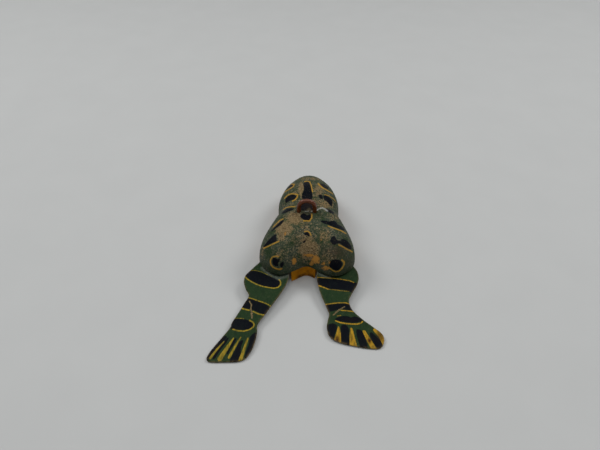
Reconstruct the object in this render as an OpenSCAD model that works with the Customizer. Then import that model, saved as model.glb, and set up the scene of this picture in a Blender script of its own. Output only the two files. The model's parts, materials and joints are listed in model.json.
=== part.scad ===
// Tin wind-up jumping frog: two pressed shells round a flat clockwork motor, whose
// cam cocks and releases a pair of flat tin hind legs.
// Axes: +Y towards the nose, +Z up. The origin is where the winding axis meets the
// surface that the frog rests on.

/* [Body] */
// Half width of the body across the hips
body_half_w = 20.3; // [18:0.1:26]
// Half width of the head at its widest
head_half_w = 14.2; // [12:0.1:17]
// Half width at the neck
neck_half_w = 13.8; // [11:0.1:16]
// Nose tip, ahead of the winding axis
nose_y = 40; // [34:0.5:48]
// Rearmost point of the two rump lobes, behind the winding axis
rump_y = 23.6; // [22:0.1:30]
// How far the rump's middle notch cuts in between the lobes
notch_depth = 5; // [3:0.1:7]
// Height of the back shell's rim over the table
rim_z = 6; // [5.5:0.1:8]
// Height of the dome over the rim, at the winding axis
dome_h = 14.8; // [13.5:0.1:22]
// Thickness of the pressed tin sheet
sheet_t = 0.5; // [0.3:0.05:0.8]
// Width of the hem turned in along the back shell's rim
hem_w = 1; // [0.8:0.1:1.4]

/* [Legs] */
// Thickness of a leg plate
leg_t = 0.8; // [0.5:0.05:1.2]
// Scale of the leg outlines along the legs
leg_stretch = 1; // [0.8:0.05:1.25]
// Angle through which the legs kick down
kick_angle = 20; // [10:1:24]
// Radius of the hip shaft
hip_shaft_r = 1; // [0.7:0.05:1.2]
// Hip shaft, behind the winding axis
hip_y = 14.6; // [14.2:0.1:15]
// How far the hip shaft lies below the back shell's rim
hip_drop = 0.6; // [0.5:0.1:1]
// Half width of the belly between the legs
crotch_half_w = 5.2; // [4.9:0.1:5.6]

/* [Winder] */
// Radius of the wire of the winder's bow
bow_wire_r = 0.95; // [0.6:0.05:1.1]
// Half width of the bow, at the centre of its wire
bow_half_w = 3.4; // [2.8:0.1:4]
// How far the bow is set to the left of the winding axis
bow_shift = 0.6; // [0:0.1:0.8]
// Straight part of the bow over the back, below its arch
bow_leg_h = 2.5; // [1:0.1:5]
// Thickness of the round disc that carries the bow
disc_t = 0.8; // [0.6:0.1:1.2]

/* [Motor] */
// Gear module
gear_m = 0.35; // [0.33:0.01:0.36]
// Teeth on the great wheel
great_teeth = 44; // [42:1:46]
// Teeth on the second wheel
second_teeth = 40; // [38:1:42]
// Leaves on both pinions
pinion_teeth = 8; // [8:1:8]
// Thickness of the wheels
wheel_t = 0.8; // [0.6:0.1:1]
// Thickness of the motor's plates
plate_t = 0.6; // [0.4:0.1:0.8]
// Radius of the train's arbors in their bearings
pivot_r = 0.6; // [0.5:0.05:0.7]
// Radius of the winding arbor in its bearings
main_pivot_r = 1; // [0.8:0.05:1.2]
// Outer radius of the mainspring's coils
spring_r = 8; // [7:0.1:8.2]
// Number of turns in the mainspring
spring_turns = 7; // [4:1:8]
// Thickness of the mainspring's strip
spring_t = 0.25; // [0.15:0.05:0.35]
// Teeth on the ratchet wheel
ratchet_teeth = 24; // [12:12:24]

/* [Hidden] */

run_gap = 0.05;     // radial clearance of a shaft in its bearing
free_gap = 0.3;     // clearance between pieces that move past each other
outline_steps = 5;  // points made between two control points of an outline
round_fn = 48;

// Colours
green = [0.16, 0.22, 0.13];
orange = [0.62, 0.33, 0.05];
steel = [0.56, 0.57, 0.58];
brass = [0.72, 0.56, 0.27];
copper = [0.42, 0.18, 0.09];
blued = [0.16, 0.18, 0.24];

// Hips: each leg's root is rolled into an eye round the hip shaft
hip_z = rim_z - hip_drop;
eye_r = hip_shaft_r + leg_t;
crotch_x = -1.4;                          // the gap between the legs sits a little to the left
shoulder_y = hip_y - eye_r - free_gap;    // front edge of the openings for the legs
belly_inset = hem_w + 0.2;
tongue_flare = 1.3;                       // flare of the belly's end between the legs, over its tuck
boss_r = hip_shaft_r + 0.7;               // round of the brackets and the arm at the hip shaft
left_eye = [-17.8, -8];                   // ends of the left leg's eye along the shaft
right_eye = [5, 17.2];
shaft_over = 0.3;                         // how far the shaft sticks out of the eyes
bracket_t = 0.8;
bracket_foot = 1.1;                       // how far a bracket's foot reaches behind the hip shaft
bracket_dx = crotch_half_w - 1.6;         // brackets either side of the crotch's middle

// Cam and follower
cam_y = -9;                               // cam's arbor, behind the winding axis
ramp_r = 3.6;                             // radius at which the cam's ramp runs
ramp_w = 1;
ramp_gap = 0.18;                          // between the ramp and the follower's tip
tip_r = 0.6;
arm_w = 1.2;
arm_len = hip_y + cam_y;                  // from the hip shaft to the follower's tip
cam_drop = arm_len * sin(kick_angle);     // rise of the tip over one whole kick
cam_sweep = 300;                          // turn of the cam over one whole kick

// Heights of the motor's layers
lower_z = 1.6;                            // underside of the lower plate
plate_top = lower_z + plate_t;
spring_z = plate_top + 0.7;               // underside of the mainspring
ramp_low_z = hip_z + tip_r + ramp_gap;    // lowest part of the cam's ramp
spring_h = ramp_low_z - free_gap - spring_z;
cam_z = ramp_low_z + cam_drop;            // underside of the cam's disc
great_z = cam_z + wheel_t + free_gap;     // underside of the great wheel
ratchet_z = great_z + wheel_t + 0.1;
second_z = ratchet_z + wheel_t + 0.7;     // underside of the second wheel
top_z = second_z + wheel_t + 0.8;         // underside of the top plate

// Gear train: the second arbor lies where both pairs mesh
mesh_gap = 0.06;
main_reach = gear_m * (great_teeth + pinion_teeth) / 2 + mesh_gap;
cam_reach = gear_m * (second_teeth + pinion_teeth) / 2 + mesh_gap;
second_along = (main_reach * main_reach - cam_reach * cam_reach + cam_y * cam_y) / (-2 * cam_y);
second_x = -sqrt(main_reach * main_reach - second_along * second_along);
second_y = -second_along;
core_r = pivot_r + 0.1;

// Winder
disc_r = bow_half_w + bow_shift + bow_wire_r + 0.3;
bow_feet = [-bow_shift - bow_half_w, bow_half_w - bow_shift];
disc_top = rim_z + dome_h;
main_core_r = main_pivot_r + 0.4;
disc_skin = 0.3;                          // metal left over the end of the winding arbor

// Pillars and posts, as [x, y]
pillars = [[-14.8, -9.8], [11.5, -9.5], [10, 6.5], [-9.5, 6.5]];
posts = [[-8, 2.5], [8, -4], [0, 9.5]];
pillar_r = 0.9;
rivet_r = 0.5;                            // shank of the rivets through the plates
rivet_head_r = 0.8;
rivet_head_h = 0.3;

// Right half of the rim's outline, from the rump's notch to the nose.
rim_half = [
    [0, notch_depth - rump_y],
    [5, 0.5 * notch_depth - rump_y],
    [8.5, 0.13 * notch_depth - rump_y],
    [11.5, -rump_y],
    [15, 1 - rump_y],
    [18.6, 4 - rump_y] - [20.3 - body_half_w, 0],
    [body_half_w, 8 - rump_y],
    [body_half_w - 0.2, -10.4],
    [body_half_w - 1.8, -4.6],
    [(body_half_w + neck_half_w) / 2 - 0.6, 1.2],
    [neck_half_w + 0.5, 7],
    [neck_half_w, 10.5],
    [head_half_w, nose_y * 0.42],
    [head_half_w * 0.93, nose_y * 0.58],
    [head_half_w * 0.78, nose_y * 0.74],
    [head_half_w * 0.56, nose_y * 0.87],
    [head_half_w * 0.3, nose_y * 0.965]];

function mirrored(half, tip) = concat(half, [tip],
    [for (i = [len(half) - 1 : -1 : 1]) [-half[i][0], half[i][1]]]);

// One point of a Catmull-Rom curve between b and c, at a share t of the way.
function curve_point(a, b, c, d, t) = 0.5 * (2 * b + (c - a) * t
    + (2 * a - 5 * b + 4 * c - d) * t * t + (3 * b - a - 3 * c + d) * t * t * t);

// A closed smooth outline through its control points.
function closed_curve(p, steps) = let (n = len(p)) [for (i = [0 : n - 1], k = [0 : steps - 1])
    curve_point(p[(i + n - 1) % n], p[i], p[(i + 1) % n], p[(i + 2) % n], k / steps)];

// An anticlockwise outline moved inwards by d along its own normals.
function inset(p, d) = let (n = len(p)) [for (i = [0 : n - 1])
    let (v = p[(i + 1) % n] - p[(i + n - 1) % n], l = norm(v)) p[i] + d * [-v[1], v[0]] / l];

rim = closed_curve(mirrored(rim_half, [0, nose_y]), outline_steps);
shell_rings = [0.14, 0.28, 0.42, 0.55, 0.67, 0.77, 0.86, 0.93, 0.975, 1];

function hill(x, y, cx, cy, sx, sy) = exp(-pow((x - cx) / sx, 2) - pow((y - cy) / sy, 2));

// Height of the back over the rim: a dome with two hip lobes, a dip at the neck and a lower head.
function back_h(x, y, h) = h + 1.4 * (hill(x, y, 11, -14, 7, 8) + hill(x, y, -11, -14, 7, 8))
    - 1.2 * hill(x, y, 0, -17, 4.5, 5) - 1.3 * hill(x, y, 0, 8.5, 30, 3)
    - 2.2 * max(0, min(1, (y - 8) / 26)) + 0.9 * hill(x, y, 0, 17, 12, 8);

// Ring of the dome at a share t of the way from the winding axis to the outline p.
function dome_ring(p, t, z0, h) = [for (q = p) let (x = q[0] * t, y = q[1] * t)
    [x, y, z0 + back_h(x, y, h) * pow(1 - pow(t, 2.5), 1 / 2.5)]];

function flat_ring(p, z) = [for (q = p) [q[0], q[1], z]];

// Ring of the belly's pan: scaled by t at the front, but flared back at the tongue's end.
function pan_ring(p, t, z) = [for (q = p)
    let (tongue = max(0, min(1, (-q[1] - shoulder_y + 2.5) / 4)))
    [q[0] * (1 - (1 - t) * (1 - 0.8 * tongue)), q[1] * (1 - (1 - t) * (1 - tongue_flare * tongue)), z]];

// A closed solid between two poles, from a stack of rings that all have as many points.
module ring_solid(pole_a, rings, pole_b) {
    n = len(rings[0]);
    last = len(rings) - 1;
    points = concat([pole_a], [for (r = rings) each r], [pole_b]);
    polyhedron(points, concat(
        [for (j = [0 : n - 1]) [0, 1 + (j + 1) % n, 1 + j]],
        [for (i = [0 : last - 1], j = [0 : n - 1]) let (a = 1 + i * n, b = a + n, k = (j + 1) % n)
            each [[a + j, a + k, b + k], [a + j, b + k, b + j]]],
        [for (j = [0 : n - 1]) let (a = 1 + last * n) [a + j, a + (j + 1) % n, len(points) - 1]]));
}

module back_shell() {
    inner = inset(rim, sheet_t);
    hem = inset(rim, hem_w);
    top_in = dome_h - sheet_t;
    color(green) difference() {
        ring_solid([0, 0, rim_z + back_h(0, 0, dome_h)], concat(
            [for (t = shell_rings) dome_ring(rim, t, rim_z, dome_h)],
            [flat_ring(hem, rim_z), flat_ring(hem, rim_z + sheet_t)],
            [for (i = [len(shell_rings) - 1 : -1 : 0])
                dome_ring(inner, shell_rings[i], rim_z + sheet_t, top_in - sheet_t)]),
            [0, 0, rim_z + back_h(0, 0, top_in)]);
        translate([0, 0, rim_z + dome_h / 2])
            cylinder(h = dome_h, r = disc_r + free_gap / 2, $fn = round_fn);
    }
}

// The belly's outline: the rim's outline moved in, but cut away where the legs come out.
function belly_outline(d) = [for (q = inset(rim, d))
    let (r = norm(q), back = max(-q[1], 0.001) / r, side = max(abs(q[0]), 0.001) / r,
        crotch = (crotch_half_w + (q[0] < 0 ? -crotch_x : crotch_x)) / side,
        limit = max(crotch, shoulder_y / back) - (d - belly_inset) * (d > belly_inset ? 1 : 0.1))
    q[1] < 0 ? q * min(1, limit / r) : q];

module belly_shell() {
    lip_z = rim_z + sheet_t + 0.05;
    wall = belly_outline(belly_inset);
    lip = belly_outline(sheet_t + 0.25);
    inner = belly_outline(belly_inset + sheet_t);
    color(orange) difference() {
        ring_solid([0, 0, sheet_t], concat(
            [pan_ring(inner, 0.84, sheet_t), pan_ring(inner, 0.93, 1),
                pan_ring(inner, 0.98, 2.1), flat_ring(inner, 4),
                flat_ring(inner, lip_z + sheet_t), flat_ring(lip, lip_z + sheet_t),
                flat_ring(lip, lip_z), flat_ring(wall, lip_z), flat_ring(wall, 4),
                pan_ring(wall, 0.98, 1.9), pan_ring(wall, 0.93, 0.5),
                pan_ring(wall, 0.84, 0)]),
            [0, 0, 0]);
        // Room for the hip shaft and the legs' rolled eyes
        translate([0, -hip_y, hip_z]) rotate([0, 90, 0])
            cylinder(h = 3 * body_half_w, r = eye_r + free_gap, center = true, $fn = round_fn);
        translate([-1.5 * body_half_w, -hip_y - eye_r - free_gap, hip_z])
            cube([3 * body_half_w, 2 * (eye_r + free_gap), rim_z]);
    }
}

// A plate with round corners over the given places.
module plate_shape(places, r) {
    hull() for (p = places) translate(p) circle(r = r, $fn = 32);
}

module bearing_plate(z, places) {
    translate([0, 0, z]) linear_extrude(plate_t) difference() {
        children();
        circle(r = main_pivot_r + run_gap, $fn = round_fn);
        translate([second_x, second_y]) circle(r = pivot_r + run_gap, $fn = round_fn);
        translate([0, cam_y]) circle(r = pivot_r + run_gap, $fn = round_fn);
        for (p = places) translate(p) circle(r = rivet_r, $fn = round_fn);
    }
}

module lower_plate() color(steel) bearing_plate(lower_z, concat(pillars, posts)) {
    plate_shape(concat(pillars, [posts[2]]), 1.4);
    translate([crotch_x - crotch_half_w + 1, -hip_y - bracket_foot])
        square([2 * crotch_half_w - 2, 8]);
}

module top_plate() color(steel) bearing_plate(top_z, pillars)
    plate_shape(pillars, 1.5);

// Shouldered pillars, with their ends riveted over through both plates.
module plate_pillars() color(steel) for (p = pillars) translate([p[0], p[1], 0]) {
    translate([0, 0, plate_top])
        cylinder(h = top_z - plate_top, r = pillar_r, $fn = round_fn);
    translate([0, 0, lower_z - rivet_head_h])
        cylinder(h = top_z + plate_t - lower_z + 2 * rivet_head_h, r = rivet_r, $fn = round_fn);
    for (z = [lower_z - rivet_head_h, top_z + plate_t]) translate([0, 0, z])
        cylinder(h = rivet_head_h, r = rivet_head_r, $fn = round_fn);
}

// Posts soldered to the belly's floor and riveted over the lower plate.
module motor_posts() color(steel) for (p = posts) translate([p[0], p[1], 0]) {
    translate([0, 0, sheet_t]) cylinder(h = lower_z - sheet_t, r = 1.1, $fn = round_fn);
    translate([0, 0, lower_z]) cylinder(h = plate_t + rivet_head_h, r = rivet_r, $fn = round_fn);
    translate([0, 0, plate_top]) cylinder(h = rivet_head_h, r = rivet_head_r, $fn = round_fn);
}

// Two cheeks on the lower plate, in which the hip shaft turns.
module hip_brackets() color(steel) for (side = [-1, 1])
    translate([crotch_x + side * bracket_dx - bracket_t / 2, -hip_y, 0]) difference() {
        union() {
            translate([0, -bracket_foot, plate_top])
                cube([bracket_t, bracket_foot + boss_r, hip_z - plate_top]);
            translate([0, 0, hip_z]) rotate([0, 90, 0])
                cylinder(h = bracket_t, r = boss_r, $fn = round_fn);
        }
        translate([-1, 0, hip_z]) rotate([0, 90, 0])
            cylinder(h = bracket_t + 2, r = hip_shaft_r + run_gap, $fn = round_fn);
    }

// Flat spiral strip from the arbor to a tail that hooks round a pillar.
spring_in_r = main_core_r + 0.1;
spring_pitch = (spring_r - spring_t - spring_in_r) / spring_turns;
tail_angle = atan2(pillars[2][1], pillars[2][0]);
tail_end = norm(pillars[2]) - pillar_r - 0.15;
spring_fn = 30;

function spiral(r0, lift) = [for (i = [0 : spring_turns * spring_fn])
    let (a = tail_angle + 360 * spring_turns - 360 * i / spring_fn,
        r = r0 + lift + spring_pitch * i / spring_fn)
    r * [cos(a), sin(a)]];

module mainspring() color(blued) translate([0, 0, spring_z]) linear_extrude(spring_h) {
    inside = spiral(spring_in_r, 0);
    outside = spiral(spring_in_r, spring_t);
    polygon(concat(inside, [for (i = [len(outside) - 1 : -1 : 0]) outside[i]]));
    rotate(tail_angle) translate([spring_r - 1.2 * spring_t, -0.3 * spring_t])
        square([tail_end - spring_r + 1.2 * spring_t, spring_t]);
    translate(pillars[2]) difference() {
        circle(r = pillar_r + 0.05 + spring_t, $fn = round_fn);
        circle(r = pillar_r + 0.05, $fn = round_fn);
    }
}

// Ring of n points round a wire at p that runs along dir; side is never parallel to dir.
function wire_ring(p, dir, side, r, n) = let (d = dir / norm(dir), u0 = cross(d, side),
    u = u0 / norm(u0), v = cross(u, d))
    [for (j = [0 : n - 1]) p + r * (cos(360 * j / n) * u + sin(360 * j / n) * v)];

module wire(path, side, r, n = 8) {
    last = len(path) - 1;
    ring_solid(path[0], [for (i = [0 : last])
        wire_ring(path[i], path[min(i + 1, last)] - path[max(i - 1, 0)], side, r, n)], path[last]);
}

// Torsion spring round the hip shaft: one end lies on the lower plate, the other under the arm.
kick_wire_r = 0.2;
kick_coil_r = hip_shaft_r + kick_wire_r + 0.15;
kick_x = crotch_x + bracket_dx - bracket_t / 2 - 2 * kick_wire_r;
kick_turns = 4;

module kick_spring() color(blued) {
    pitch = 2.6 * kick_wire_r;
    end_x = kick_x - pitch * (kick_turns + 0.25);
    foot = [kick_x, -hip_y - kick_coil_r, plate_top + kick_wire_r + 0.05];
    coil = [for (i = [0 : 16 * kick_turns + 4]) let (a = 180 + 360 * i / 16)
        [kick_x - pitch * i / 16, -hip_y + kick_coil_r * cos(a), hip_z + kick_coil_r * sin(a)]];
    tail = [[end_x - 0.5, 1.6 - hip_y, hip_z - kick_coil_r], [-ramp_r, 2.6 - hip_y, hip_z - 1.2]];
    wire(concat([foot], coil, tail), [1, 0.3, 0.2], kick_wire_r);
}

// A leg lies from the hip shaft down to its toes, which touch the table.
function leg_tilt(reach) = asin(hip_z / norm([reach, leg_t / 2])) - atan2(leg_t / 2, reach);

// Outlines of the legs, behind the hip shaft: [x, distance behind the shaft], round each leg.
left_outline = [[-18.4, 0.4], [-21.2, 2.6], [-23.6, 5.6], [-25.6, 8.4], [-26, 11.5],
    [-24.7, 15.4], [-23.2, 18.4], [-24.6, 21.9], [-26.3, 26], [-28.4, 30.6], [-29, 33.1], [-31.6, 37.4],
    [-35.4, 43.8], [-35.2, 46.8], [-29, 46.9], [-23.1, 46.2], [-20.4, 43.6], [-18.8, 39],
    [-18.3, 34.6], [-18.4, 31.2], [-15.6, 26.2], [-12.4, 20.6], [-9.9, 16.1], [-8, 11.5],
    [-7.3, 7.4], [-7.6, 3.2], [-8.2, 0.4]];
right_outline = [[17.6, 0.4], [20.2, 2.9], [21.5, 5.6], [21.8, 8.4], [20.9, 11.8], [18.9, 15.5],
    [17.4, 19.3], [18.6, 23.4], [22.2, 27.2], [26.1, 30.4], [29.6, 33.5], [30, 36.6],
    [28.4, 39.2], [24.6, 39.5], [17.7, 38.5], [12.2, 37], [9.3, 34.9], [8.4, 31.4],
    [8.7, 28.4], [9.3, 25.6], [8.4, 22.9], [6.6, 18.2], [5.2, 14], [4.4, 9.4],
    [4.2, 5.2], [4.8, 2.6], [5, 0.4]];

module leg(outline, eye) {
    shape = closed_curve([for (p = outline) [p[0], -p[1] * leg_stretch]], 4);
    reach = max([for (p = shape) -p[1]]);
    translate([0, -hip_y, hip_z]) difference() {
        union() {
            rotate([leg_tilt(reach), 0, 0]) translate([0, 0, -leg_t / 2])
                linear_extrude(leg_t) polygon(shape);
            translate([eye[0], 0, 0]) rotate([0, 90, 0])
                cylinder(h = eye[1] - eye[0], r = eye_r, $fn = round_fn);
        }
        translate([-2 * body_half_w, 0, 0]) rotate([0, 90, 0])
            cylinder(h = 4 * body_half_w, r = hip_shaft_r, $fn = round_fn);
    }
}

module left_leg() color(green) leg(left_outline, left_eye);
module right_leg() color(green) leg(right_outline, right_eye);

module hip_shaft() color(steel) translate([left_eye[0] - shaft_over, -hip_y, hip_z]) rotate([0, 90, 0])
    cylinder(h = right_eye[1] - left_eye[0] + 2 * shaft_over, r = hip_shaft_r, $fn = round_fn);

// The cam presses this arm's round tip down, and so lifts the legs.
module follower_arm() color(steel) translate([-ramp_r, -hip_y, hip_z]) difference() {
    union() {
        translate([-arm_w / 2, 0, -0.8]) cube([arm_w, arm_len, 1.2]);
        for (end = [[0, boss_r], [arm_len, tip_r]]) translate([-arm_w / 2, end[0], 0])
            rotate([0, 90, 0]) cylinder(h = arm_w, r = end[1], $fn = round_fn);
    }
    translate([-arm_w, 0, 0]) rotate([0, 90, 0])
        cylinder(h = 2 * arm_w, r = hip_shaft_r, $fn = round_fn);
}

// A wheel's outline: teeth with round-backed flanks, and one tooth at the angle phase.
function tooth_points(teeth, i, phase, thick) = let (a = phase + 360 * i / teeth, s = 360 / teeth,
    rp = gear_m * teeth / 2)
    [for (k = [[-0.28 * thick, -1.15], [-0.25 * thick, 0], [-0.12 * thick, 0.8],
        [0.12 * thick, 0.8], [0.25 * thick, 0], [0.28 * thick, -1.15]])
        (rp + k[1] * gear_m) * [cos(a + k[0] * s), sin(a + k[0] * s)]];

module toothed(teeth, phase, thick = 0.84) {
    polygon([for (i = [0 : teeth - 1]) each tooth_points(teeth, i, phase, thick)]);
}

second_angle = atan2(second_y, second_x);                    // from the winding axis
cam_angle = atan2(cam_y - second_y, -second_x);       // from the second arbor

// Ratchet wheel and the click that it pushes round
ratchet_r = 3.6;
notch_h = 0.45;                              // depth of the ratchet's teeth
notch_a = 74;                                // angle at which the click's nose lies
click_at = [5.6, 1.4];                       // click's pivot, on the great wheel
stud_r = 0.4;
anchor_at = [1.3, 6.2];                      // root of the click's spring, on the great wheel

function around(r, a) = r * [cos(a), sin(a)];

module great_wheel() color(brass) translate([0, 0, great_z]) linear_extrude(wheel_t) difference() {
    toothed(great_teeth, second_angle);
    circle(r = main_core_r + run_gap, $fn = round_fn);
    for (a = [60, 150, 240]) rotate(a) translate([4.6, 0]) circle(r = 1.5, $fn = round_fn);
    translate(click_at) circle(r = stud_r, $fn = round_fn);
    translate(anchor_at) circle(r = 0.2, $fn = round_fn);
}

module click_stud() color(steel) translate([click_at[0], click_at[1], great_z - 0.15]) {
    cylinder(h = 2 * wheel_t + 0.4, r = stud_r, $fn = round_fn);
    cylinder(h = 0.15, r = 0.6, $fn = round_fn);
    translate([0, 0, 2 * wheel_t + 0.35]) cylinder(h = 0.15, r = 0.7, $fn = round_fn);
}

// The click's nose lies in a notch, and its underside clears the next tooth.
module click() color(steel) translate([0, 0, ratchet_z]) linear_extrude(wheel_t) difference() {
    union() {
        translate(click_at) circle(r = 0.9, $fn = round_fn);
        polygon([around(ratchet_r - notch_h + 0.1, notch_a), around(ratchet_r + 0.25, notch_a - 12),
            click_at - [0.5, 0.7], click_at + [0.5, 0.7], [2.4, 4.9],
            around(ratchet_r + 0.5, notch_a + 0.5)]);
    }
    translate(click_at) circle(r = stud_r + run_gap, $fn = round_fn);
}

// Hair spring beside the click's back, with its root set in the great wheel.
module click_spring() color(blued) {
    z = ratchet_z + wheel_t / 2;
    root = [anchor_at[0], anchor_at[1], great_z + 0.1];
    wire([root, [root[0], root[1], z - 0.4], [root[0] + 0.3, root[1] - 0.07, z],
        [3.2, 5.75, z], [5.45, 3.35, z]], [0.5, 0.85, 0], 0.15);
}

module ratchet_wheel() color(brass) translate([0, 0, ratchet_z]) linear_extrude(wheel_t) difference() {
    polygon([for (i = [0 : ratchet_teeth - 1]) let (s = 360 / ratchet_teeth, a = notch_a + 3 + i * s)
        each [around(ratchet_r - notch_h, a - 1.8), around(ratchet_r, a)]]);
    circle(r = main_core_r, $fn = round_fn);
}

module winding_arbor() color(steel) {
    translate([0, 0, lower_z - 0.4])
        cylinder(h = disc_top - disc_skin - lower_z + 0.4, r = main_pivot_r, $fn = round_fn);
    translate([0, 0, plate_top + 0.1])
        cylinder(h = top_z - plate_top - 0.2, r = main_core_r, $fn = round_fn);
    translate([0, 0, top_z + plate_t + 0.4])
        cylinder(h = disc_top - disc_t - top_z - plate_t - 0.4, r = main_core_r, $fn = round_fn);
}

// Round disc that fills the hole in the back and carries the bow.
module winder_disc() color(green) translate([0, 0, disc_top - disc_t]) difference() {
    cylinder(h = disc_t, r = disc_r, $fn = round_fn);
    translate([0, 0, -1]) cylinder(h = 1 + disc_t - disc_skin, r = main_pivot_r, $fn = round_fn);
    for (x = bow_feet) translate([x, 0, -1])
        cylinder(h = disc_t + 2, r = bow_wire_r, $fn = round_fn);
}

module winder_bow() color(copper) translate([0, 0, disc_top + bow_leg_h]) {
    translate([-bow_shift, 0, 0]) rotate([90, 0, 0]) rotate_extrude(angle = 180, $fn = round_fn)
        translate([bow_half_w, 0]) circle(r = bow_wire_r, $fn = 24);
    for (x = bow_feet) translate([x, 0, -bow_leg_h - disc_t])
        cylinder(h = bow_leg_h + disc_t, r = bow_wire_r, $fn = round_fn);
}

// Arbor with thin pivots in both plates and a thicker core between them.
module train_arbor(x, y) color(steel) translate([x, y, 0]) {
    translate([0, 0, lower_z - 0.2])
        cylinder(h = top_z + plate_t - lower_z + 0.4, r = pivot_r, $fn = round_fn);
    translate([0, 0, plate_top + 0.1])
        cylinder(h = top_z - plate_top - 0.2, r = core_r, $fn = round_fn);
}
module pinion(x, y, z, h, phase) color(brass) translate([x, y, z]) linear_extrude(h) difference() {
    toothed(pinion_teeth, phase, 0.72);
    circle(r = core_r, $fn = round_fn);
}

module second_arbor() train_arbor(second_x, second_y);
module second_pinion() pinion(second_x, second_y, great_z - 0.3, wheel_t + 0.6,
    second_angle + 180 + 180 / pinion_teeth);

module second_wheel() color(brass) translate([second_x, second_y, second_z])
    linear_extrude(wheel_t) difference() {
        toothed(second_teeth, cam_angle);
        circle(r = core_r, $fn = round_fn);
        for (a = [0 : 90 : 270]) rotate(a + 45) translate([3.6, 0]) circle(r = 1.5, $fn = round_fn);
    }

module cam_arbor() train_arbor(0, cam_y);
module cam_pinion() pinion(0, cam_y, second_z - 0.3, wheel_t + 0.6,
    cam_angle + 180 + 180 / pinion_teeth);

// Depth of the ramp under the cam's disc at an angle round it: it falls steadily over
// one kick, stays at its deepest for a short dwell, and then drops away.
ramp_step = 7.5;
dwell = 15;

function ramp_depth(a) = cam_drop * min(1, 1 - (180 - a) / cam_sweep);

module kick_cam() color(steel) translate([0, cam_y, cam_z]) {
    difference() {
        cylinder(h = wheel_t, r = ramp_r + ramp_w / 2 + 0.3, $fn = round_fn);
        translate([0, 0, -1]) cylinder(h = wheel_t + 2, r = core_r, $fn = round_fn);
    }
    angles = [for (a = [180 - cam_sweep + ramp_step : ramp_step : 180 + dwell]) a];
    last = len(angles) - 1;
    points = [for (a = angles) each [for (k = [[-0.5, 0], [0.5, 0], [0.5, 1], [-0.5, 1]])
        let (r = ramp_r + k[0] * ramp_w) [r * cos(a), r * sin(a), k[1] == 0 ? -ramp_depth(a) : 0.2]]];
    polyhedron(points, concat([[3, 2, 1, 0]],
        [for (i = [0 : last - 1], k = [0 : 3]) let (a = 4 * i, m = (k + 1) % 4)
            each [[a + k, a + 4 + m, a + 4 + k], [a + k, a + m, a + 4 + m]]],
        [[for (k = [0 : 3]) 4 * last + k]]));
}

back_shell();
belly_shell();
lower_plate();
top_plate();
plate_pillars();
motor_posts();
hip_brackets();
mainspring();
kick_spring();
left_leg();
right_leg();
hip_shaft();
follower_arm();
great_wheel();
click_stud();
click_spring();
click();
winding_arbor();
ratchet_wheel();
winder_disc();
winder_bow();
second_arbor();
second_pinion();
second_wheel();
cam_arbor();
cam_pinion();
kick_cam();
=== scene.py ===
"""Tin wind-up jumping frog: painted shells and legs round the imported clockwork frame."""

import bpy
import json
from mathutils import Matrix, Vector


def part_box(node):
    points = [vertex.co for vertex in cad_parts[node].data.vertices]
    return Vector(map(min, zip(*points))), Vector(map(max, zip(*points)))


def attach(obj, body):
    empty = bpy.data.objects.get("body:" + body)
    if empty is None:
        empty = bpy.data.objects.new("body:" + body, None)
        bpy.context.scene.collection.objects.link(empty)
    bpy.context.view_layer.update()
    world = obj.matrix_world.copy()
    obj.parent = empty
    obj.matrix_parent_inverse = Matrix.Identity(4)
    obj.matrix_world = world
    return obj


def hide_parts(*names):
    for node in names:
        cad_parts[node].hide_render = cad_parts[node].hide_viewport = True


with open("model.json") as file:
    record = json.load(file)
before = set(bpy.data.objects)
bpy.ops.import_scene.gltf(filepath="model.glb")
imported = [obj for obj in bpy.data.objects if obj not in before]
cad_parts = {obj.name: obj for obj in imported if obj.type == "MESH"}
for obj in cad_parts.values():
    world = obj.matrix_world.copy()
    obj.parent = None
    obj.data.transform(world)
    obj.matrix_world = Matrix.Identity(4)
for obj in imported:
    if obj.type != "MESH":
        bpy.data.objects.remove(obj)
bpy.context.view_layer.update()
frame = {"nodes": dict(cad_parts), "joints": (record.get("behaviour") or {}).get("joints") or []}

import json
from functools import partial

import bpy
import numpy as np


# ---------------------------------------------------------------------------
# Motor plates, arbors, pillars, brackets and the kick arm: mild steel, punched or
# turned and then polished. They keep their imported solids and get a steel finish
# with turning lines, and handling stains and a little rust in scattered patches.

MM = 0.001


def new_material(name):
    """An empty node material with its Principled shader; returns material, tree and shader."""
    material = bpy.data.materials.new(name)
    material.use_nodes = True
    tree = material.node_tree
    return material, tree, tree.nodes["Principled BSDF"]


def add_node(tree, kind, inputs=(), **settings):
    """Adds a shader node; inputs pairs a socket's name or number with a value or a link."""
    made = tree.nodes.new("ShaderNode" + kind)
    for key, value in settings.items():
        setattr(made, key, value)
    for socket, value in dict(inputs).items():
        if isinstance(value, bpy.types.NodeSocket):
            tree.links.new(value, made.inputs[socket])
        else:
            made.inputs[socket].default_value = value
    return made


def maths(tree, operation, a, b, clamp=False):
    """One Math node's result."""
    return add_node(tree, "Math", {0: a, 1: b}, operation=operation, use_clamp=clamp).outputs[0]


def step_up(tree, value, start, width):
    """0 below start, 1 above start + width, and a straight rise in between."""
    shifted = maths(tree, "SUBTRACT", value, start)
    return maths(tree, "DIVIDE", shifted, width, clamp=True)


def mix_colours(tree, share, a, b):
    """Colour a where share is 0 and colour b where it is 1."""
    made = add_node(tree, "Mix", {0: share, 6: a, 7: b}, data_type="RGBA", clamp_factor=True)
    return made.outputs[2]


def sums_in(tree):
    """Short forms for one tree's nodes: times, plus, minus, rising and mixed."""
    times, plus, minus = (partial(maths, tree, kind) for kind in ("MULTIPLY", "ADD", "SUBTRACT"))
    return times, plus, minus, partial(step_up, tree), partial(mix_colours, tree)


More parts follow.
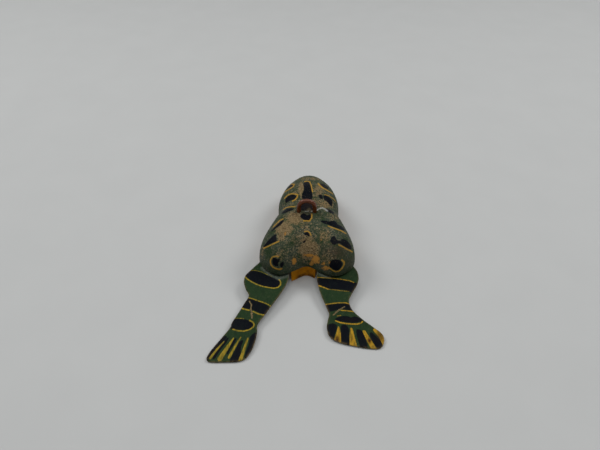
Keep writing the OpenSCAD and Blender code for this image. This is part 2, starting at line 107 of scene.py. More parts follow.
def grain(tree, place, scale, detail=3.0, roughness=0.6):
    """Noise from 0 to 1 at a number of cells per millimetre."""
    made = add_node(tree, "TexNoise", {"Vector": place, "Scale": scale, "Detail": detail,
                                       "Roughness": roughness})
    return made.outputs["Fac"]


def millimetres(tree):
    """The piece's own coordinates, in millimetres."""
    place = add_node(tree, "TexCoord").outputs["Object"]
    return add_node(tree, "VectorMath", {0: place, "Scale": 1 / MM}, operation="SCALE").outputs[0]


def new_pattern(name, sockets):
    """An empty node group with its input sockets, (name, kind, value) each; returns the tree, its
    inputs, and a function that puts out the pattern's colour, roughness and height."""
    tree = bpy.data.node_groups.new(name, "ShaderNodeTree")
    for label, kind, value in sockets:
        socket = tree.interface.new_socket(label, in_out="INPUT", socket_type="NodeSocket" + kind)
        socket.default_value = value
    outputs = (("Color", "Color"), ("Roughness", "Float"), ("Height", "Float"))
    for label, kind in outputs:
        tree.interface.new_socket(label, in_out="OUTPUT", socket_type="NodeSocket" + kind)
    given = tree.nodes.new("NodeGroupInput").outputs
    wanted = tree.nodes.new("NodeGroupOutput").inputs

    def put_out(*results):
        for (label, _), result in zip(outputs, results):
            tree.links.new(result, wanted[label])
    return tree, given, put_out


worked_metal, given, put_out = new_pattern("worked_metal", [
    ("Clean", "Color", (0.5, 0.5, 0.5, 1)), ("Tarnish", "Color", (0.2, 0.15, 0.1, 1)),
    ("Stain", "Float", 0.5), ("Lines", "Float", 6.0), ("Polish", "Float", 0.3)])
times, plus, minus, rising, mixed = sums_in(worked_metal)
place = millimetres(worked_metal)
cloud = grain(worked_metal, place, scale=0.35, detail=5.0)
speck = grain(worked_metal, place, scale=4.0)
rings = add_node(worked_metal, "TexWave", {"Vector": place, "Scale": given["Lines"], "Distortion": 1.2,
                                           "Detail": 2.0}, wave_type="RINGS").outputs["Fac"]
stain_start = plus(times(minus(1.0, given["Stain"]), 0.35), 0.5)
stained = times(rising(cloud, stain_start, 0.3), plus(speck, 0.25, clamp=True))
put_out(mixed(stained, given["Clean"], given["Tarnish"]),
        plus(given["Polish"], times(stained, 0.35), clamp=True),
        times(plus(rings, speck), 0.01))


def finish(name, pattern, values, masks, own):
    """A material whose colour, roughness and bump come from a pattern. Values and masks fill the
    pattern's sockets, the masks from the mesh's attributes, and own fills the shader's sockets."""
    material, tree, shader = new_material(name)
    read = {socket: add_node(tree, "Attribute", attribute_name=label).outputs["Fac"]
            for socket, label in masks.items()}
    results = add_node(tree, "Group", {**values, **read}, node_tree=pattern).outputs
    bump = add_node(tree, "Bump", {"Height": results["Height"], "Distance": MM})
    tree.links.new(results["Color"], shader.inputs["Base Color"])
    tree.links.new(results["Roughness"], shader.inputs["Roughness"])
    tree.links.new(bump.outputs["Normal"], shader.inputs["Normal"])
    for socket, value in own.items():
        shader.inputs[socket].default_value = value
    return material


def metal_finish(name, clean, tarnish, stain, lines, polish):
    """A metal material: the worked_metal pattern over a fully metallic shader."""
    values = {"Clean": (*clean, 1), "Tarnish": (*tarnish, 1), "Stain": stain, "Lines": lines,
              "Polish": polish}
    return finish(name, worked_metal, values, {}, {"Metallic": 1.0})


def finish_nodes(material, *names):
    """Gives carried-over CAD nodes their material."""
    for name in names:
        slots = frame["nodes"][name].data.materials
        slots.clear()
        slots.append(material)


plate_steel = metal_finish("plate_steel", (0.50, 0.50, 0.49), (0.19, 0.12, 0.07), 0.55, 2.5, 0.34)
turned_steel = metal_finish("turned_steel", (0.58, 0.58, 0.57), (0.22, 0.15, 0.09), 0.4, 7.0, 0.22)
finish_nodes(plate_steel, "lower_plate", "top_plate", "hip_brackets", "follower_arm", "kick_cam",
             "click")
finish_nodes(turned_steel, "plate_pillars", "motor_posts", "hip_shaft", "click_stud",
             "winding_arbor", "second_arbor", "cam_arbor")


# ---------------------------------------------------------------------------
# Springs: blued spring steel, the mainspring a rolled strip, the kick spring and the
# click's hair spring drawn wire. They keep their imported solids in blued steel.

blued_steel = metal_finish("blued_steel", (0.055, 0.07, 0.13), (0.16, 0.08, 0.03), 0.35, 5.0, 0.28)
finish_nodes(blued_steel, "mainspring", "kick_spring", "click_spring")


# ---------------------------------------------------------------------------
# Wheels, pinions and the ratchet wheel: cut from brass sheet and rod, staked on their
# arbors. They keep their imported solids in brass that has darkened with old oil.

clock_brass = metal_finish("clock_brass", (0.72, 0.50, 0.20), (0.24, 0.13, 0.04), 0.5, 4.0, 0.26)
finish_nodes(clock_brass, "great_wheel", "ratchet_wheel", "second_pinion", "second_wheel",
             "cam_pinion")


# ---------------------------------------------------------------------------
# Belly: a shallow pan pressed from tin sheet, with a narrow tongue that runs back between
# the legs, painted orange and worn. Its lip is soldered inside the back.

RIM_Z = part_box("back_shell")[0].z / MM
NOSE_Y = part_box("back_shell")[1].y / MM
HIP = np.array([joint["pos_m"] for joint in frame["joints"] if joint["name"] == "legs_kick"][0]) / MM
BELLY_LOW, BELLY_HIGH = (corner.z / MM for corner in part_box("belly_shell"))
RUMP_Y = -23.6
SHEET = 0.5             # thickness of the tin
WALL_IN = 1.2           # the pan's wall, its inside and its lip, in from the back's rim
INSIDE_IN = 1.7
LIP_IN = 0.75
TONGUE_HALF_W = 5.2
TONGUE_X = -1.4         # the tongue lies a little to the left
EYE_ROOM = 2.1          # room for the legs' rolled eyes, in front of the hips
FLOOR_SHARE = 0.82      # the floor's size as a share of the wall's
CORNER_H = 4.2          # height of the rounding from floor to wall
RIM_HALF = [
    (0, -18.6), (5, -21.1), (8.5, -22.95), (11.5, RUMP_Y), (15, -22.6), (18.6, -19.6), (20.3, -15.6),
    (20.1, -10.4), (18.5, -4.6), (16.45, 1.2), (14.3, 7), (13.8, 10.5), (14.2, 16.8), (13.206, 23.2),
    (11.076, 29.6), (7.952, 34.8), (4.26, 38.6)]


def smooth_loop(points, steps):
    """A closed Catmull-Rom curve: a cubic between each two points, whose slope at a point is
    half the chord between that point's neighbours."""
    b = np.array(points, float)
    a, c, d = (np.roll(b, shift, 0)[:, None] for shift in (1, -1, -2))
    b = b[:, None]
    t = (np.arange(steps) / steps)[None, :, None]
    curve = 2 * b + (c - a) * t + (2 * a - 5 * b + 4 * c - d) * t**2 + (3 * b - a - 3 * c + d) * t**3
    return 0.5 * curve.reshape(-1, b.shape[-1])


def moved_in(loop, distance):
    """Each point of an anticlockwise loop moved inwards along the normal of its neighbours' chord."""
    chord = np.roll(loop, -1, 0) - np.roll(loop, 1, 0)
    chord /= np.linalg.norm(chord, axis=1)[:, None]
    return loop + distance * np.stack([-chord[:, 1], chord[:, 0]], 1)


def grid_faces(index, wrap_rows=False, wrap_columns=True):
    """Quads over a grid of vertex numbers; a wrapped side joins its last line to its first."""
    down = np.roll(index, -1, 0) if wrap_rows else index[1:]
    top = index if wrap_rows else index[:-1]
    if wrap_columns:
        quads = np.stack([top, down, np.roll(down, -1, 1), np.roll(top, -1, 1)], -1)
    else:
        quads = np.stack([top[:, :-1], down[:, :-1], down[:, 1:], top[:, 1:]], -1)
    return quads.reshape(-1, 4)


def pole_faces(pole, ring, upwards):
    """Triangles from a pole's vertex to a closed ring; upwards turns them the other way up."""
    after = np.roll(ring, -1)
    near, far = (after, ring) if upwards else (ring, after)
    return np.stack([np.full(len(ring), pole), near, far], -1)


def numbered(rings):
    """Vertex numbers over a stack of rings."""
    return np.arange(rings.shape[0] * rings.shape[1]).reshape(rings.shape[:2])


def capped_stack(rings, first_pole, last_pole):
    """Points and faces of a stack of closed rings with a pole at each end."""
    index = numbered(rings)
    points = np.concatenate([rings.reshape(-1, 3), [first_pole, last_pole]])
    return points, [grid_faces(index), pole_faces(index.size, index[0], False),
                    pole_faces(index.size + 1, index[-1], True)]


def make_piece(name, points, faces, marks, material, body, slot, *nodes):
    """Makes a closed mesh from points in millimetres, with float attributes for its paint, rides
    it on its body and puts it in its CAD nodes' place. The sum of the triangles' signed
    volumes tells whether the faces point outwards; if not they are turned over."""
    triangles = np.concatenate([f[:, [0, k, k + 1]] for f in faces for k in range(1, f.shape[1] - 1)])
    a, b, c = (points[triangles[:, k]] for k in range(3))
    if np.einsum("ij,ij->", a, np.cross(b, c)) < 0:
        faces = [f[:, ::-1] for f in faces]
    mesh = bpy.data.meshes.new(name)
    mesh.from_pydata((points * MM).tolist(), [], [row for f in faces for row in f.tolist()])
    mesh.validate()
    for label, values in marks.items():
        attribute = mesh.attributes.new(label, "FLOAT", "POINT")
        attribute.data.foreach_set("value", values.astype(np.float32))
    mesh.shade_smooth()
    mesh.materials.append(material)
    piece = bpy.data.objects.new(name, mesh)
    bpy.context.scene.collection.objects.link(piece)
    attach(piece, body)
    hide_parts(*nodes)


# Paint that has been rubbed for years: green ground, black spots with yellow outlines, bare
# patches where the primer shows, and fine speckle. Spots and outlines come in as signed
# distances in millimetres, so that their edges can be made a little ragged.
FAR = 9.0               # a distance in mm at which no spot or outline shows
PALE = (0.62, 0.50, 0.30, 1)        # dusty primer
SMEAR_AND_SHEEN_COLOUR = (0.52, 0.52, 0.48, 1)       # old white smears, and the painted sheen on the legs
PAINT_GLOSS = 0.06
STREAK_SHARE = 0.45     # how far each effect goes to its colour where strongest
FLECK_SHARE = 0.8
SCRAPED_SHARE = 0.7
BARE_SHARE = 0.9
CHIP_SHARE = 0.7
THIN_SHARE = 0.12
EDGE_SHARE = 0.6
worn_paint, given, put_out = new_pattern("worn_paint", [
    ("Spot", "Float", FAR), ("Line", "Float", FAR), ("Bare", "Float", 0.0), ("Rust", "Float", 0.0),
    ("Smoke", "Float", 0.0), ("Smear And Sheen", "Float", 0.0), ("Edge", "Float", 0.0),
    ("Ground", "Color", (0.020, 0.040, 0.014, 1)), ("Ground Worn", "Color", (0.052, 0.066, 0.045, 1)),
    ("Spot Color", "Color", (0.002, 0.003, 0.006, 1)), ("Line Color", "Color", (0.50, 0.27, 0.03, 1)),
    ("Primer", "Color", (0.36, 0.25, 0.12, 1)), ("Primer Dark", "Color", (0.085, 0.058, 0.028, 1)),
    ("Rust Color", "Color", (0.40, 0.19, 0.04, 1)), ("Smoke Color", "Color", (0.05, 0.03, 0.018, 1)),
    ("Grit", "Float", 1.0), ("Fading", "Float", 0.5), ("Brushed", "Float", 0.0)])
times, plus, minus, rising, mixed = sums_in(worn_paint)
place = millimetres(worn_paint)
along_leg = add_node(worn_paint, "VectorMath", {0: place, 1: (1.0, 0.16, 1.0)},
                     operation="MULTIPLY").outputs[0]
bristles = grain(worn_paint, along_leg, scale=1.5)
cloud = grain(worn_paint, place, scale=0.22)
patch = grain(worn_paint, place, scale=0.8, detail=5.0, roughness=0.65)
fleck = grain(worn_paint, place, scale=1.35, roughness=0.8)
speck = grain(worn_paint, place, scale=3.1, roughness=0.7)


def opposite(share):
    """What is left of 1."""
    return minus(1.0, share)


def ragged(limit, amount):
    """A mask plus 1.5 times the patchy noise and 1.3 times the speckle, each taken about its
    middle, cut to a fairly sharp edge at the limit."""
    noise = plus(times(minus(patch, 0.5), 1.5), times(minus(speck, 0.5), 1.3))
    return rising(plus(noise, amount), limit, 0.22)


def inside(distance, jitter, width, grown):
    """1 inside a painted shape and 0 outside it, with a ragged edge that has grown outwards."""
    wobble = times(minus(speck, 0.5), jitter)
    return rising(minus(wobble, distance), -0.5 * width - grown, width)


def bristle_marks(start, width):
    """Streaks that a brush leaves along a leg."""
    return times(given["Brushed"], rising(bristles, start, width))


# The ground, its brush streaks and its light and dark flecks
tone = times(rising(plus(cloud, times(patch, 0.8)), 0.66, 0.4), given["Grit"])
colour = mixed(tone, given["Ground"], given["Ground Worn"])
colour = mixed(times(bristle_marks(0.52, 0.16), STREAK_SHARE), colour, given["Spot Color"])
handled = plus(times(rising(cloud, 0.42, 0.16), 0.75), 0.35)
flecked = plus(times(given["Bare"], 1.5), times(given["Grit"], 0.2), clamp=True)
flecked = times(flecked, handled, clamp=True)
dark_flecks = times(rising(opposite(fleck), 0.55, 0.06), flecked)
light_flecks = times(rising(fleck, 0.545, 0.06), flecked)
primer = mixed(rising(speck, 0.38, 0.3), given["Primer Dark"], given["Primer"])
pale = mixed(0.35, primer, PALE)
colour = mixed(times(light_flecks, FLECK_SHARE), colour, pale)

# Bare patches down to the primer, and rust
bare = ragged(0.42, given["Bare"])
scraped = mixed(times(light_flecks, SCRAPED_SHARE), primer, pale)
colour = mixed(times(bare, BARE_SHARE), colour, scraped)
colour = mixed(times(dark_flecks, FLECK_SHARE), colour, given["Spot Color"])
colour = mixed(ragged(0.5, given["Rust"]), colour, given["Rust Color"])

# Black spots with chips in them
chips = rising(plus(speck, times(bare, 0.04)), 0.68, 0.05)
spot = times(inside(given["Spot"], 0.35, 0.18, 0.1), opposite(times(chips, CHIP_SHARE)))
spot_colour = mixed(times(rising(patch, 0.5, 0.3), THIN_SHARE), given["Spot Color"],
                    given["Ground Worn"])
spot_colour = mixed(times(bristle_marks(0.5, 0.2), THIN_SHARE), spot_colour, given["Ground"])
colour = mixed(spot, colour, spot_colour)

# Yellow outlines and strokes, worn through in places
line_kept = rising(plus(patch, times(speck, 0.5)), 0.55, 0.25)
line = times(inside(given["Line"], 0.4, 0.2, 0.0), opposite(times(given["Fading"], opposite(line_kept))))
dull_line = mixed(0.35, given["Line Color"], given["Primer Dark"])
line_colour = mixed(rising(patch, 0.4, 0.3), given["Line Color"], dull_line)
line_colour = mixed(bristle_marks(0.42, 0.22), line_colour, given["Ground"])
colour = mixed(line, colour, line_colour)

# Smoky stains and painted shade, which show less on black, chalky smears and painted sheen, and rubbed
# edges
smoke_and_shade = times(given["Smoke"], plus(patch, 0.2, clamp=True))
colour = mixed(times(smoke_and_shade, opposite(times(spot, 0.75))), colour, given["Smoke Color"])
colour = mixed(times(given["Smear And Sheen"], rising(speck, 0.3, 0.3)), colour, SMEAR_AND_SHEEN_COLOUR)
colour = mixed(times(times(given["Edge"], rising(patch, 0.35, 0.2)), EDGE_SHARE), colour, given["Primer"])

# Bare patches and specks are rougher and black is smoother; each coat of paint stands up a little
rough = plus(plus(times(bare, 0.22), 0.5), times(speck, 0.12))
film = plus(times(minus(spot, bare), 0.03), times(line, 0.03))
waves = times(plus(patch, times(cloud, 2.0)), 0.12)
put_out(colour, minus(rough, times(spot, 0.08)), plus(plus(film, times(speck, 0.05)), waves))


def paint_finish(name, masks, **values):
    """A paint material: worn_paint fed by the piece's own attributes, with its own values."""
    values = {label.replace("_", " "): (*value, 1) if isinstance(value, tuple) else value
              for label, value in values.items()}
    return finish(name, worn_paint, values, masks, {"Specular IOR Level": PAINT_GLOSS})


def belly_loop(distance):
    """The rim's outline moved in by a distance, and behind the shoulders pulled towards the
    origin until it lies in front of the hips or within the tongue's width."""
    loop = moved_in(rim_loop, distance)
    r = np.linalg.norm(loop, axis=1)
    back, side = np.maximum(-loop[:, 1], 0.001) / r, np.maximum(abs(loop[:, 0]), 0.001) / r
    tongue = (TONGUE_HALF_W + np.where(loop[:, 0] < 0, -TONGUE_X, TONGUE_X)) / side
    shoulder = -(HIP[1] + EYE_ROOM) / back
    limit = np.maximum(tongue, shoulder) - (distance - WALL_IN) * (1 if distance > WALL_IN else 0.1)
    share = np.where(loop[:, 1] < 0, np.minimum(1, limit / r), 1)
    return loop * share[:, None]


rim_loop = smooth_loop(RIM_HALF + [(0, NOSE_Y)] + [(-x, y) for x, y in RIM_HALF[:0:-1]], 12)
wall_loop, inner_loop, lip_loop = (belly_loop(distance) for distance in (WALL_IN, INSIDE_IN, LIP_IN))


def pan_ring(loop, share, z):
    """The loop scaled by the share at the front, but at the tongue's end hardly narrowed and
    flared back by 0.3 times what the share leaves. The tongue counts from 4.6 mm in front of
    the hips, and fully 4 mm further back."""
    tongue = np.clip((-loop[:, 1] + HIP[1] + 4.6) / 4, 0, 1)
    less = 1 - share
    return np.stack([loop[:, 0] * (1 - less * (1 - 0.8 * tongue)),
                     loop[:, 1] * (1 - less * (1 - 1.3 * tongue)), np.full(len(loop), z)], -1)


# Rings of the pan as (loop, share of its size, height), from inside the floor round to below it.
# The inside is a sheet's thickness higher at the floor and less up the wall.
turn = np.linspace(0, np.pi / 2, 12)
pan_outer = [(wall_loop, FLOOR_SHARE + (1 - FLOOR_SHARE) * np.sin(a) ** 0.8,
              BELLY_LOW + CORNER_H * (1 - np.cos(a))) for a in turn]
pan_inner = [(inner_loop, share, z + SHEET * (1 - z / 9)) for _, share, z in pan_outer]
floor_shares = (0.15, 0.35, 0.55, 0.7, 0.78)
floor_out = [(wall_loop * share, 1, BELLY_LOW) for share in floor_shares]
floor_in = [(inner_loop * share, 1, SHEET) for share in floor_shares]
lip = [(inner_loop, 1, 0.3), (inner_loop, 1.005, 0.05), (lip_loop, 0.99, 0), (lip_loop, 1, 0.2),
       (lip_loop, 0.995, SHEET - 0.02), (wall_loop, 1, SHEET + 0.1), (wall_loop, 1, 1)]
top = [(loop, share, BELLY_HIGH - down) for loop, share, down in lip]
pan = floor_in + pan_inner + top + pan_outer[::-1] + floor_out[::-1]
points, faces = capped_stack(np.stack([pan_ring(*ring) for ring in pan]), (0, 0, SHEET), (0, 0, BELLY_LOW))

# Worn along its lower edge, with a dark seam half a millimetre to the right and a painted contact shadow
# along the bottom of the tongue's end, which is the part behind y = -16
behind = np.clip((-points[:, 1] - 16) / 4, 0, 1)
seam_and_shadow = np.exp(-((points[:, 0] - 0.5) / 0.45) ** 2) * np.clip((3.4 - points[:, 2]) / 1.2, 0, 1)
contact_shadow = np.exp(-(((points[:, 2] - 0.3) / 0.9) ** 2)) * np.clip((4.6 - abs(points[:, 0] + 0.3)) / 1.5, 0, 1)
belly_marks = {"rubbed": 0.35 * np.exp(-(points[:, 2] / 0.6) ** 2) - 0.3 * behind,
               "seam_and_shadow": 1.6 * np.maximum(seam_and_shadow, contact_shadow) * behind}
belly_paint = paint_finish(
    "belly_paint", {"Bare": "rubbed", "Smoke": "seam_and_shadow"}, Ground=(0.66, 0.27, 0.006),
    Ground_Worn=(0.44, 0.16, 0.006), Primer=(0.22, 0.15, 0.08), Primer_Dark=(0.10, 0.05, 0.02),
    Smoke_Color=(0.03, 0.015, 0.008), Grit=0.8)
make_piece("belly_pan", points, faces, belly_marks, belly_paint, "frame", "belly_shell", "belly_shell")


# ---------------------------------------------------------------------------
# Back: one deep pressing of thin tin, domed over the hips and lower at the neck and nose,
# with a hem turned in along its rim and a round hole for the winder. It is painted green
# with black spots and yellow strokes, now rubbed down to the primer over much of it.

DOME_H = 14.8
DOME_REACH = 18         # the dome's rough half width and rise, which space its rings
DOME_RISE = 14.5
DOME_POWER = 2.5        # 2 would be an ellipse; more is fuller at the shoulder
HILLS = [               # height, place and spread: over each hip, between them, neck and crown
    (1.4, 11, -14, 7, 8), (1.4, -11, -14, 7, 8), (-1.2, 0, -17, 4.5, 5), (-1.3, 0, 8.5, 30, 3),
    (0.9, 0, 17, 12, 8)]
NOSE_DROP = 2.2
HEM = 1.0
BEND_R = 0.3
HOLE_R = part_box("winder_disc")[1].x / MM + 0.15
OUTER_ROWS, INNER_ROWS = 110, 36
PAINT_SLOPE = 0.7       # the paint's shapes are laid out on the back seen at a slope


def hill(x, y, centre_x, centre_y, spread_x, spread_y):
    """A round hill of height 1: e to the minus sum of the squared distances over the spreads."""
    return np.exp(-(((x - centre_x) / spread_x) ** 2) - ((y - centre_y) / spread_y) ** 2)


def back_height(x, y, height):
    """A flat dome with its hills and dips, and a slope down towards the nose that begins at
    y = 8 and is 26 mm long."""
    hills = sum(tall * hill(x, y, *place) for tall, *place in HILLS)
    return height + hills - NOSE_DROP * np.clip((y - 8) / 26, 0, 1)


def dome(loop, rows, height, base):
    """Rings from the winder's hole out to the loop. A point at a share t of the way from the
    axis lies at the back's height times the 2.5th root of 1 - t to the 2.5; the shares are
    spaced evenly along the curve."""
    def fall(share):
        return (1 - share**DOME_POWER).clip(0) ** (1 / DOME_POWER)
    fine = np.linspace(0, 1, 2000)
    steps = np.hypot(np.diff(fine) * DOME_REACH, np.diff(fall(fine)) * DOME_RISE)
    length = np.concatenate([[0], np.cumsum(steps)])
    start = np.interp(HOLE_R / DOME_REACH, fine, length)
    even = np.interp(np.linspace(start, length[-1], rows), length, fine)
    even = (even - even[0]) / (1 - even[0])
    reach = np.linalg.norm(loop, axis=1)
    share = even[:, None] + (1 - even[:, None]) * (HOLE_R / reach)[None]
    x, y = share * loop[:, 0], share * loop[:, 1]
    return np.stack([x, y, base + back_height(x, y, height) * fall(share)], -1)


def paint_place(points):
    """Where the paint's shapes lie on a sloping surface: x, and 0.7 times y + z."""
    return np.stack([points[..., 0], PAINT_SLOPE * (points[..., 1] + points[..., 2])], -1)


def steep_paint_place(rings):
    """The paint's place on the back, whose second number runs on past the nose's horizon
    instead of turning back: past its peak on the way out it is mirrored about that peak. This
    comes in smoothly for directions whose share straight ahead is between 0.75 and 0.95."""
    x, w = np.moveaxis(paint_place(rings), -1, 0)
    peak = np.maximum.accumulate(w, 0)
    forward = rings[-1, :, 1] / np.linalg.norm(rings[-1, :, :2], axis=1)
    forward = np.clip((forward - 0.75) / 0.2, 0, 1)
    past = w + (peak - w) * 2 * (forward * forward * (3 - 2 * forward))[None]
    return np.stack([x, past], -1)


def to_segments(places, start, end):
    """Distance from each place to each segment, and how far along the segment that is."""
    along = end - start
    offset = places[:, None] - start[None]
    square = np.einsum("jk,jk->j", along, along) + 1e-9
    share = np.clip(np.einsum("ijk,jk->ij", offset, along) / square, 0, 1)
    return np.linalg.norm(offset - share[..., None] * along[None], axis=2), share


def spot_distance(places, spots):
    """Signed distance in mm to the nearest spot, negative inside: the distance to its smoothed
    outline, and inside if a ray to +x crosses that outline an odd number of times."""
    nearest = np.full(len(places), FAR)
    for spot in spots:
        loop = smooth_loop(spot, 3)
        after = np.roll(loop, -1, 0)
        distance = to_segments(places, loop, after)[0].min(1)
        low, high = loop[None, :, 1] > places[:, 1:], after[None, :, 1] > places[:, 1:]
        rise = np.where(after[:, 1] == loop[:, 1], 1e-9, after[:, 1] - loop[:, 1])
        cut = loop[:, 0] + (places[:, 1:] - loop[:, 1]) * (after[:, 0] - loop[:, 0]) / rise
        within = ((low != high) & (places[:, :1] < cut)).sum(1) % 2 == 1
        nearest = np.minimum(nearest, np.where(within, -distance, distance))
    return nearest


def stroke_distance(places, strokes):
    """Signed distance in mm to the nearest brush stroke, negative inside. A stroke is its points
    and its width, or the widths at its two ends between which it changes evenly."""
    nearest = np.full(len(places), FAR)
    for line, *widths in strokes:
        line = np.array(line, float)
        distance, share = to_segments(places, line[:-1], line[1:])
        along = (share + np.arange(len(line) - 1)) / (len(line) - 1)
        width = widths[0] + (widths[-1] - widths[0]) * along
        nearest = np.minimum(nearest, (distance - 0.5 * width).min(1))
    return nearest


def blots(places, rows):
    """Soft round blots, the strongest at each place: (x, y, spread x, spread y, strength)."""
    total = np.zeros(len(places))
    for *where, strength in rows:
        total = np.maximum(total, strength * hill(places[:, 0], places[:, 1], *where))
    return total


BACK_SPOTS = [
    [(-2.7, 28.4), (-1.9, 29.5), (-0.8, 29.8), (0.2, 29), (0.9, 26.6), (1.2, 24.5), (1.6, 22.5),
     (1.5, 20.9), (0.2, 20.2), (-2.3, 20.4), (-3, 22), (-2.5, 23.9), (-2.1, 26)],
    [(-10, 26.9), (-9, 28.1), (-7.7, 28.6), (-7.4, 27.9), (-8.5, 26.8), (-9.4, 26.4)],
    [(5.2, 28.6), (6.1, 29.2), (7.6, 28.7), (9.2, 27.4), (8.8, 26.5), (7.3, 26.9), (6, 27.6)],
    [(-10.5, 20.5), (-9.9, 21.5), (-8.5, 22.4), (-7, 22.6), (-5.9, 22.1), (-5.8, 21.1), (-6.5, 20.4),
     (-7.9, 20.1), (-9.3, 19.3), (-10.2, 19)],
    [(4.7, 22.7), (5.8, 22.8), (6.2, 21.8), (6.3, 20.8), (5.4, 21), (4.8, 21.7)],
    [(6.9, 22.3), (7.9, 22.7), (9.3, 21.8), (10.7, 20.5), (10.6, 17.9), (9.7, 18.3), (8.3, 19.8),
     (7, 20.6)],
    [(-3.3, 12.3), (-2.7, 13.3), (-1.7, 13.6), (-0.9, 13), (0, 12.8), (1, 13.3), (1.3, 12.1), (0.7, 10.9),
     (-0.8, 10.7), (-2.1, 11.2)],
    [(5.5, 10.3), (6, 10.7), (7, 10.5), (7.7, 10.7), (8.6, 10.3), (10.7, 10.7), (12, 10.3), (12.6, 9.2),
     (14.1, 8.6), (15.9, 7.2), (14.9, 6.9), (12.7, 7.6), (10.6, 8.2), (9.1, 8.8), (8.3, 9.2), (7.2, 9.3),
     (6.2, 9.9)],
    [(-10.4, 10.5), (-11.6, 9.9), (-13, 8.4), (-14.2, 7.1), (-15.2, 5.9), (-14.7, 5.9), (-13.1, 7.2),
     (-11.6, 8.3), (-10.5, 9.6)],
    [(-13, 4.4), (-13, 3.3), (-12.6, 1.7), (-14.1, 1.1), (-16.2, 0.1), (-18, -1), (-18.1, -0.5),
     (-16.3, 1.6), (-14.7, 3.3)],
    [(9.7, 3.2), (10.2, 3.9), (11.1, 4.2), (11.6, 3.4), (12.1, 2.7), (13.8, 2.3), (14, 3), (15.6, 2.9),
     (16.9, 2), (18.2, 0.4), (18.2, -0.9), (16.6, -0.4), (14.7, 0.5), (13.4, 1.4), (11.9, 1.3),
     (11.1, 0.8), (10, 1.2), (9.4, 2.3)],
    [(-1.3, 4.8), (-0.6, 5.5), (0.4, 5.4), (0.9, 4.2), (0.6, 4), (-0.3, 4.5), (-0.9, 4.3)],
    [(-1.7, 1.3), (-1.4, 2), (-0.6, 2.2), (-1, 1.6), (-1.4, 1.2)],
    [(-14, -5.6), (-13.2, -5.1), (-12, -5.7), (-11.1, -5.4), (-11.2, -6.4), (-11.9, -7.2), (-11.7, -8.3),
     (-12.8, -8.3), (-13.9, -7.5)],
    [(-10.9, -8.2), (-10.4, -7), (-9.5, -6.8), (-9.6, -7.9), (-10.2, -8.9)],
    [(9.4, -6.9), (10, -5.7), (11.4, -5.2), (13.1, -5.4), (14.3, -6.5), (14.2, -7.8), (13.1, -9.3),
     (11.6, -9.5), (10.4, -8.7), (9.4, -8.1)]]
FADED_SPOTS_AND_LOOP_SHADE = [
    [(-11.7, 13.7), (-10.7, 15.1), (-8.9, 16), (-6.9, 16.1), (-6.2, 15.7), (-7.9, 14.7), (-10.1, 13.8)],
    [(7.8, 16.3), (9.1, 16.2), (10.5, 15.4), (11.6, 14.3), (10.4, 14.1), (8.8, 14.6), (7.7, 15.1)],
    # Inside the winder's bow: partly a black mark and partly painted shade under the bow
    [(-3.4, 15.2), (-2.8, 18), (-0.4, 19.8), (2.4, 18.6), (3.2, 15.6), (1.9, 14.8), (0.4, 16.4),
     (-1.2, 15.1)]]
BACK_STROKES = [
    ([(-2.2, 29.8), (-1, 30.2), (0.3, 29.8), (1, 27.8), (1.4, 25.8), (1.8, 24)], 0.5),
    ([(-8.5, 28.9), (-7, 28.6), (-7.4, 27.2), (-8.4, 26.4), (-9.8, 25.5), (-12.2, 24.5)], 0.55),
    ([(4.4, 28.9), (5.1, 27.9), (6.5, 26.5), (8.9, 25.3), (11.3, 24.1)], 0.9, 0.4),
    ([(-11.1, 21.1), (-9.9, 22.4), (-8.1, 23.2), (-6.2, 23), (-5, 22.6), (-5.2, 21.3), (-6.1, 20.1),
      (-7.2, 19.6)], 0.55),
    ([(7.2, 23.1), (9.3, 22.6), (11.2, 21.6), (12.7, 20.2)], 0.35),
    ([(-11.4, 15.7), (-10, 16.5), (-8.1, 16.8), (-5.8, 16.8)], 0.4),
    ([(1.6, 13.5), (1.6, 11.7), (0.7, 10.4), (-1.8, 10.4)], 0.55),
    ([(8.5, 8.4), (10.5, 7.7), (12.6, 7), (14.4, 6.4), (16.2, 5.5)], 0.4),
    ([(-10.6, 11.1), (-12.1, 10.4), (-13.5, 8.9), (-14.7, 7.5)], 0.4),
    ([(-18.2, -1.4), (-16.2, -0.6), (-14, 0.5), (-11.6, 1.6)], 0.5),
    ([(12.8, 0.8), (14.2, 0.2), (16.4, -1), (18.8, -2)], 0.5),
    ([(-1.3, 5.8), (-0.2, 6.1), (0.8, 5.6), (1.5, 4.4)], 0.45),
    ([(-11.4, -4.6), (-12.8, -4.4), (-14.2, -4.8), (-15, -6.3), (-14.8, -7.9), (-13.9, -9), (-12.5, -9.6),
      (-11.2, -9.8), (-10.3, -9.5)], 0.4, 0.7),
    ([(14.3, -5.4), (15.3, -6.2), (15.3, -7.2), (14.6, -8.6), (13.4, -9.9), (11.9, -10.2), (10.6, -9.7),
      (9.6, -8.9)], 0.7, 0.4)]
RUBBED = [
    (-9.8, 7.1, 4.2, 3.6, 1), (-10.8, 3.6, 2.6, 2.6, 0.8), (-5.5, 11.5, 4.6, 3.4, 0.95),
    (-3.6, 26.1, 1.5, 4.4, 1.1), (-3.1, 4, 3.6, 3, 0.5), (0, -0.9, 4.6, 4.2, 0.85),
    (-1.5, 8.5, 4, 3, 0.55), (4.6, 25.2, 3.6, 5, 0.65), (7.8, 18.6, 5, 3.6, 0.7), (7, 4.5, 3.6, 4, 0.6),
    (11, 12.5, 4.5, 3, 0.5), (-10.6, 17.9, 3, 2.6, 0.3), (0, 32, 9, 1.6, 0.6), (-18.8, -3, 1.8, 3.6, 0.45),
    (9.5, -5.5, 2.2, 3, 0.55), (-11.5, -4.2, 3.4, 2, 0.55), (0, 22, 15, 13, 0.43), (0, 3, 17, 10, 0.38),
    (0.8, -1.6, 4.2, 4.6, 1.25), (-0.2, 2.2, 3.4, 3, 0.9), (-10, -3, 4, 3.5, 0.42),
    (8.6, -4.5, 5, 4.5, 0.5), (0, -5.5, 12, 4, 0.42)]
